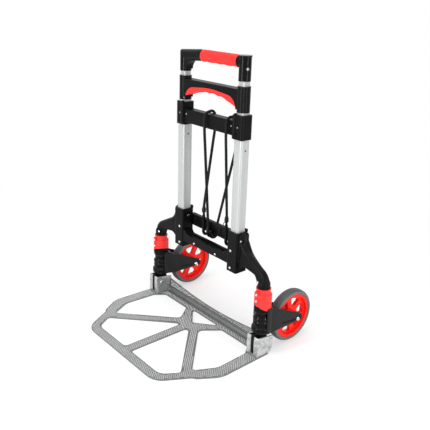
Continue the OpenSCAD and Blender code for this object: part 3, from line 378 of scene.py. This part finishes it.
# grain and bump are in mm; edge is the colour of the corners, lighter partly as wear and partly as a
# painted highlight
finishes = {
    "gritBlack": {
        "colour": (0.0036, 0.0036, 0.0038), "second": (0.0065, 0.0065, 0.0067),
        "edge": (0.042, 0.042, 0.043), "rough": 0.34, "gloss": 0.07,
        "grain": 0.8, "bump": 0.03, "pattern": "pebble",
    },
    "forkBlack": {
        "colour": (0.016, 0.016, 0.0165), "second": (0.02, 0.02, 0.0205),
        "edge": (0.07, 0.07, 0.07), "rough": 0.4, "gloss": 0.09,
        "grain": 0.8, "bump": 0.03, "pattern": "pebble",
    },
    "smoothBlack": {
        "colour": (0.0025, 0.0025, 0.0027), "second": (0.0045, 0.0045, 0.0047),
        "edge": (0.05, 0.05, 0.05), "rough": 0.2, "gloss": 0.09,
        "grain": 2.0, "bump": 0.006, "pattern": "grain",
    },
    "gripRed": {
        "colour": (0.95, 0.024, 0.018), "second": (0.84, 0.018, 0.014),
        "edge": (0.93, 0.06, 0.05), "rough": 0.55, "gloss": 0.3,
        "grain": 0.9, "bump": 0.05, "pattern": "pebble",
    },
    "cuffRed": {
        "colour": (0.84, 0.028, 0.022), "second": (0.76, 0.022, 0.018),
        "edge": (0.93, 0.1, 0.08), "rough": 0.4, "gloss": 0.35,
        "grain": 1.4, "bump": 0.02, "pattern": "grain",
    },
    "wheelRed": {
        "colour": (0.98, 0.012, 0.003), "second": (0.9, 0.008, 0.002),
        "edge": (0.95, 0.05, 0.03), "rough": 0.3, "gloss": 0.2,
        "grain": 2.5, "bump": 0.015, "pattern": "grain",
    },
    "tyreGrey": {
        "colour": (0.105, 0.108, 0.11), "second": (0.13, 0.133, 0.135),
        "edge": (0.18, 0.18, 0.18), "rough": 0.5, "gloss": 0.45,
        "grain": 0.8, "bump": 0.04, "pattern": "pebble",
    },
    # painted shade: the tread's grey is darker than the side walls' to stand in for the shade the tread
    # lies in
    "treadGreyPaintedShade": {
        "colour": (0.05, 0.051, 0.052), "second": (0.065, 0.066, 0.067),
        "edge": (0.12, 0.12, 0.12), "rough": 0.5, "gloss": 0.4,
        "grain": 0.8, "bump": 0.04, "pattern": "pebble",
    },
    "brightZinc": {
        "colour": (0.7, 0.71, 0.72), "second": (0.5, 0.51, 0.52),
        "edge": (0.85, 0.85, 0.85), "rough": 0.28, "metal": 1.0, "gloss": 0.5,
        "grain": 1.5, "bump": 0.015, "pattern": "grain",
    },
    "dullScrew": {
        "colour": (0.28, 0.28, 0.28), "second": (0.18, 0.18, 0.18),
        "edge": (0.4, 0.4, 0.4), "rough": 0.45, "metal": 0.9, "gloss": 0.4,
        "grain": 1.0, "bump": 0.02, "pattern": "grain",
    },
    "earZinc": {
        "colour": (0.58, 0.59, 0.59), "second": (0.4, 0.41, 0.41),
        "edge": (0.78, 0.78, 0.78), "rough": 0.36, "metal": 0.75, "gloss": 0.5,
        "grain": 6.0, "bump": 0.01, "pattern": "spangle",
    },
    "plateGrey": {
        "colour": (0.2, 0.205, 0.205), "second": (0.15, 0.153, 0.153),
        "edge": (0.42, 0.42, 0.42), "rough": 0.42, "metal": 0.6, "gloss": 0.5,
        "grain": 2.0, "bump": 0.02, "pattern": "grain",
    },
    "studGrey": {
        "colour": (0.5, 0.51, 0.51), "second": (0.4, 0.405, 0.405),
        "edge": (0.6, 0.6, 0.6), "rough": 0.36, "metal": 0.6, "gloss": 0.5,
        "grain": 2.0, "bump": 0.01, "pattern": "grain",
    },
    "drawnAluminium": {
        "colour": (0.5, 0.51, 0.51), "second": (0.43, 0.44, 0.44),
        "edge": (0.78, 0.78, 0.78), "rough": 0.45, "metal": 0.4, "gloss": 0.4,
        "grain": 1.1, "bump": 0.012, "pattern": "drawn",
    },
    "cordBlack": {
        "colour": (0.005, 0.005, 0.0053), "second": (0.014, 0.014, 0.0145),
        "edge": (0.02, 0.02, 0.02), "rough": 0.75, "gloss": 0.15,
        "grain": 0.5, "bump": 0.06, "pattern": "braid",
    },
}
finishSetup = {
    "stretch": {"drawn": (1, 1, 0.012), "braid": (1, 1, 0.5)},  # drawn streaks and braid run along z
    "celled": ("pebble", "spangle", "braid"),
    "detail": 3.0, "patchScale": 0.035,
    "toneFrom": 0.36, "toneTo": 0.64, "roughSpread": 0.15, "roughFrom": 0.3, "roughTo": 0.7,
    "cornerRadius": 0.9, "cornerSamples": 4, "cornerFrom": 0.995, "cornerTo": 0.85,
    # how strongly the lighter corner colour is mixed in, partly wear and partly painted highlight
    "rubAndHighlightFrom": 0.35, "rubAndHighlightTo": 0.6, "leastRubAndHighlight": 0.35, "mostRubAndHighlight": 0.8,
    "bumpScale": 4, "bumpStrength": 0.5,
}


def makeFinish(name, s):
    f = finishSetup
    material = bpy.data.materials.new(name)
    material.use_nodes = True
    tree = material.node_tree
    shader = tree.nodes["Principled BSDF"]
    place = addNode(tree, "TexCoord").outputs["Object"]
    scale = tuple(k / mm for k in f["stretch"].get(s["pattern"], (1, 1, 1)))
    spot = addNode(tree, "Mapping", {"Vector": place, "Scale": scale}).outputs[0]
    grain = addNode(tree, "TexNoise", {"Vector": spot, "Scale": 1 / s["grain"],
                                       "Detail": f["detail"]}).outputs["Fac"]
    patch = addNode(tree, "TexNoise", {"Vector": spot, "Scale": f["patchScale"],
                                       "Detail": f["detail"]}).outputs["Fac"]
    relief = grain
    if s["pattern"] in f["celled"]:
        cells = addNode(tree, "TexVoronoi", {"Vector": spot, "Scale": 1 / s["grain"]})
        relief = mathNode(tree, "SUBTRACT", 1.0, cells.outputs["Distance"])
        if s["pattern"] == "spangle":
            # each zinc crystal has its own tone
            grain = addNode(tree, "SeparateXYZ", {0: cells.outputs["Color"]}).outputs[0]
    half = mathNode(tree, "MULTIPLY", patch, 0.5)
    blend = mathNode(tree, "MULTIPLY_ADD", grain, 0.5, half)
    tone = mixColors(tree, rangeNode(tree, blend, f["toneFrom"], f["toneTo"]), s["colour"], s["second"])
    # corners are rounded to the eye and coloured lighter, partly as rubbed wear and partly as a painted
    # highlight
    soft = addNode(tree, "Bevel", {"Radius": f["cornerRadius"] * mm}, samples=f["cornerSamples"]).outputs[0]
    flat = addNode(tree, "NewGeometry").outputs["True Normal"]
    turn = addNode(tree, "VectorMath", {0: soft, 1: flat}, operation="DOT_PRODUCT").outputs["Value"]
    rubAndHighlight = rangeNode(tree, patch, f["rubAndHighlightFrom"], f["rubAndHighlightTo"], f["leastRubAndHighlight"], f["mostRubAndHighlight"])
    rim = mathNode(tree, "MULTIPLY", rangeNode(tree, turn, f["cornerFrom"], f["cornerTo"]), rubAndHighlight)
    tone = mixColors(tree, rim, tone, s["edge"])
    tree.links.new(tone, shader.inputs["Base Color"])
    low, high = s["rough"] * (1 - f["roughSpread"]), s["rough"] * (1 + f["roughSpread"])
    rough = rangeNode(tree, blend, f["roughFrom"], f["roughTo"], low, high)
    tree.links.new(rough, shader.inputs["Roughness"])
    shader.inputs["Metallic"].default_value = s.get("metal", 0.0)
    shader.inputs["Specular IOR Level"].default_value = s["gloss"]
    bump = addNode(tree, "Bump", {"Height": relief, "Distance": s["bump"] * mm * f["bumpScale"],
                                  "Strength": f["bumpStrength"], "Normal": soft})
    tree.links.new(bump.outputs[0], shader.inputs["Normal"])
    return material


materials = {name: makeFinish(name, s) for name, s in finishes.items()}
print(len(materials), "finishes made")


def paint(piece, *names):
    piece.data.materials.clear()
    for name in names:
        piece.data.materials.append(materials[name])


for side in ("left", "right"):
    paint(cordPieces[side], "cordBlack")
    paint(hookPieces[side], "smoothBlack", "brightZinc")

tyreSizes = {
    "halfWidth": 12.9, "axleX": 201.0, "axleY": 99.0, "axleZ": 68.0, "steps": 120,
    # radius, and how far in from the side: the rim, the side wall, a moulded ridge, the shoulder, the crown
    "section": [(57.2, 2.2), (57.6, 0.9), (58.6, 0.2), (60.0, 0), (61.6, 0.1), (62.1, -0.05), (62.8, -0.05),
                (63.3, 0.5), (64.6, 1.2), (65.9, 2.6), (66.8, 4.4), (67.3, 6.2), (67.55, 7.2), (67.3, 7.5),
                (67.6, 7.8), (67.8, 9.6), (67.9, 11.6), (67.65, 12.65)],
    "beadRadius": 58.2, "beadHalf": 8,
    "treadEdge": 1.6,  # the tread, coloured darker than the walls as painted shade, starts this far in from the side
}


def makeTyre(name, node, body, sign):
    s = tyreSizes
    w, bead = s["halfWidth"], s["beadRadius"]
    half = [(r, w - inset) for r, inset in s["section"]]
    profile = half + [(r, -h) for r, h in reversed(half)] + [(bead, -s["beadHalf"]), (bead, s["beadHalf"])]
    centre = (sign * s["axleX"], s["axleY"], s["axleZ"])
    piece = meshPiece(name, *lathe(profile, s["steps"], "x", centre, closed=True), body, "grey_rubber")
    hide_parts(node)
    paint(piece, "tyreGrey", "treadGreyPaintedShade")
    middle, wall = centre[0] * mm, (w - s["treadEdge"]) * mm
    # faces on the tread take the darker grey, which is painted shade
    for face in piece.data.polygons:
        face.material_index = int(abs(face.center.x - middle) < wall)


makeTyre("leftTyre", "left_tyre", "left_wheel", -1)
makeTyre("rightTyre", "right_tyre", "right_wheel", 1)
print("tyres turned")

armRimSizes = {
    # middle line of the rounded rim behind each arm, from the box's top to the leg: x, y, z, radius
    "line": [(119.6, 8, 279, 8.0), (121.5, 8, 270, 9.3), (127.1, 8, 256.1, 10.0), (142.4, 7, 232.3, 10.5),
             (166.9, 5, 215.5, 10.5), (186.5, 2.0, 205.5, 10.5), (199.0, -1.0, 196.0, 10.5),
             (206.0, -3.0, 181.0, 10.5)],
    "capRadius": 3.0, "step": 2.0, "sides": 32,
}


def makeArmRim(name, sign):
    s = armRimSizes
    line, cap = s["line"], s["capRadius"]
    way = smoothWay([(sign * x, y, z) for x, y, z, r in line], s["step"])
    total = wayLength(way)
    marks, gone = [0.0], 0.0
    for a, b in zip(line, line[1:]):
        gone += (Vector(b[:3]) - Vector(a[:3])).length
        marks.append(gone)

    def radius(gone, turn):
        at = gone / total * marks[-1]
        i = max(k for k in range(len(marks) - 1) if marks[k] <= at + 1e-6)
        t = min(1.0, (at - marks[i]) / (marks[i + 1] - marks[i]))
        r = line[i][3] + (line[i + 1][3] - line[i][3]) * t
        if gone < cap:  # the upper end is rounded off
            r -= cap - math.sqrt(cap * cap - (cap - gone) ** 2)
        return r

    piece = meshPiece(name, *sweep(way, radius, s["sides"]), "frame", "black_plastic")
    paint(piece, "smoothBlack")


makeArmRim("leftArmRim", -1)
makeArmRim("rightArmRim", 1)

barrelSizes = {
    "bore": 11.4, "legX": 205.0, "legY": -3.0, "steps": 96,
    # radius and height, from the broad lower ring over two ribs and the waist to the top
    "outline": [(22.9, 62.0), (24.0, 63.1), (24.2, 69.0), (23.7, 73.6), (22.6, 75.2), (20.2, 76.2),
                (19.7, 77.4), (20.4, 79.2), (20.8, 84.5), (20.4, 90.3), (19.2, 91.6), (18.9, 92.6),
                (19.4, 93.6), (21.0, 94.8), (21.4, 97.2), (20.9, 99.4), (18.6, 101.8), (17.5, 105.5),
                (17.2, 110.0), (17.6, 113.5), (18.6, 116.3)],
}


def makeBarrel(name, node, body, sign):
    s = barrelSizes
    line = s["outline"]
    profile = [(s["bore"], line[0][1])] + line + [(s["bore"], line[-1][1])]
    centre = (sign * s["legX"], s["legY"], 0)
    piece = meshPiece(name, *lathe(profile, s["steps"], "z", centre, closed=True), body, "black_plastic")
    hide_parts(node)
    paint(piece, "smoothBlack")


makeBarrel("leftBarrel", "left_barrel", "left_carrier", -1)
makeBarrel("rightBarrel", "right_barrel", "right_carrier", 1)
print("arm rims and barrels made")

treadSizes = {
    "pitch": 4.3, "base": 3.0, "top": 1.0, "height": 0.9, "sunk": 0.05, "border": 1.9,
    # the plate's face: its height, half width, and front and back edges
    "plateTop": 3.0, "patternY": -120, "reachX": 228.0, "front": -276.0, "back": 4.0,
    # the flange's front face, where the studs stand a little closer to the edges
    "flangeFace": 17.0, "flangeMiddle": 24, "flangeFrom": 16.0, "flangeTo": 40, "flangeReach": 186,
    "flangeBorder": 0.8,
    # a stud stands only where a short ray meets the face at the right depth
    "rayFrom": 5, "rayLength": 8, "depthSlack": 0.1, "leastFacing": 0.99,
}


def addStud(verts, faces, spot, u, v, out, s):
    first = len(verts)
    for size, rise in ((s["base"] / 2, -s["sunk"]), (s["top"] / 2, s["height"])):
        for a, b in ((-1, -1), (1, -1), (1, 1), (-1, 1)):
            verts.append(spot + u * a * size + v * b * size + out * rise)
    faces.append((first + 4, first + 5, first + 6, first + 7))
    for k in range(4):
        n = (k + 1) % 4
        faces.append((first + k, first + n, first + 4 + n, first + 4 + k))


def makeTread(s):
    plate = bmesh.new()
    plate.from_mesh(nodes["toe_plate"].data)
    tree = BVHTree.FromBMesh(plate)
    plate.free()
    verts, faces = [], []
    count = int(2 * s["reachX"] / s["pitch"])
    half = s["base"] / 2 + s["border"]

    def onPlate(spot, out):
        start = Vector((spot.x, spot.y + middleY, spot.z)) * mm + out * s["rayFrom"] * mm
        place, normal, index, gap = tree.ray_cast(start, -out, s["rayLength"] * mm)
        if place is None:
            return False
        return abs(gap - s["rayFrom"] * mm) < s["depthSlack"] * mm and normal.dot(out) > s["leastFacing"]

    def cover(middle, u, v, out, reach, inside):
        u, v = u.normalized(), v.normalized()
        for i in range(-count, count + 1):
            for k in range(-count, count + 1):
                spot = u * i * s["pitch"] + v * k * s["pitch"] + middle
                if not inside(spot):
                    continue
                ends = [spot + u * a * reach + v * b * reach
                        for a, b in ((0, 0), (-1, 0), (1, 0), (0, -1), (0, 1))]
                if all(onPlate(end, out) for end in ends):
                    addStud(verts, faces, spot, u, v, out, s)

    def onTop(p):
        return abs(p.x) <= s["reachX"] and s["front"] < p.y < s["back"]

    def onFlange(p):
        return abs(p.x) <= s["flangeReach"] and s["flangeFrom"] < p.z < s["flangeTo"]

    cover(Vector((0, s["patternY"], s["plateTop"])), Vector((1, 1, 0)), Vector((1, -1, 0)),
          Vector((0, 0, 1)), half, onTop)
    cover(Vector((0, s["flangeFace"], s["flangeMiddle"])), Vector((1, 0, 1)), Vector((1, 0, -1)),
          Vector((0, -1, 0)), half * s["flangeBorder"], onFlange)
    piece = meshPiece("plateTread", verts, faces, "toe_plate", "plate_aluminium", smooth=False)
    paint(piece, "studGrey")
    print("plate tread has", len(faces) // 5, "studs")


makeTread(treadSizes)

finishOf = {
    "gritBlack": ["top_bridge", "left_shoulder", "right_shoulder", "rear_beam", "lower_crossbar",
                  "left_foot", "right_foot", "mid_handle", "left_sleeve", "right_sleeve"],
    "forkBlack": ["left_fork", "right_fork"],
    "smoothBlack": ["left_elbow", "right_post", "mid_tube_plugs", "inner_tube_plugs", "left_rail_button",
                    "right_rail_button", "handle_button", "left_wheel_bush", "right_wheel_bush"],
    "gripRed": ["mid_grip", "top_grip"],
    "cuffRed": ["left_cuff", "right_cuff"],
    "wheelRed": ["left_wheel", "right_wheel"],
    "brightZinc": ["frame_rivets", "cuff_screws", "thrust_washers", "left_axle", "right_axle",
                   "left_leg", "right_leg", "handle_core", "left_hinge_pin", "right_hinge_pin"],
    "dullScrew": ["bridge_screws", "collar_screw", "post_screw"],
    "earZinc": ["left_ear", "right_ear"],
    "plateGrey": ["toe_plate"],
    "drawnAluminium": ["left_rail", "right_rail", "left_mid_tube", "right_mid_tube", "left_inner_tube",
                       "right_inner_tube"],
}
for finish, members in finishOf.items():
    for member in members:
        paint(nodes[member], finish)
print("finishes on", sum(len(m) for m in finishOf.values()), "nodes")
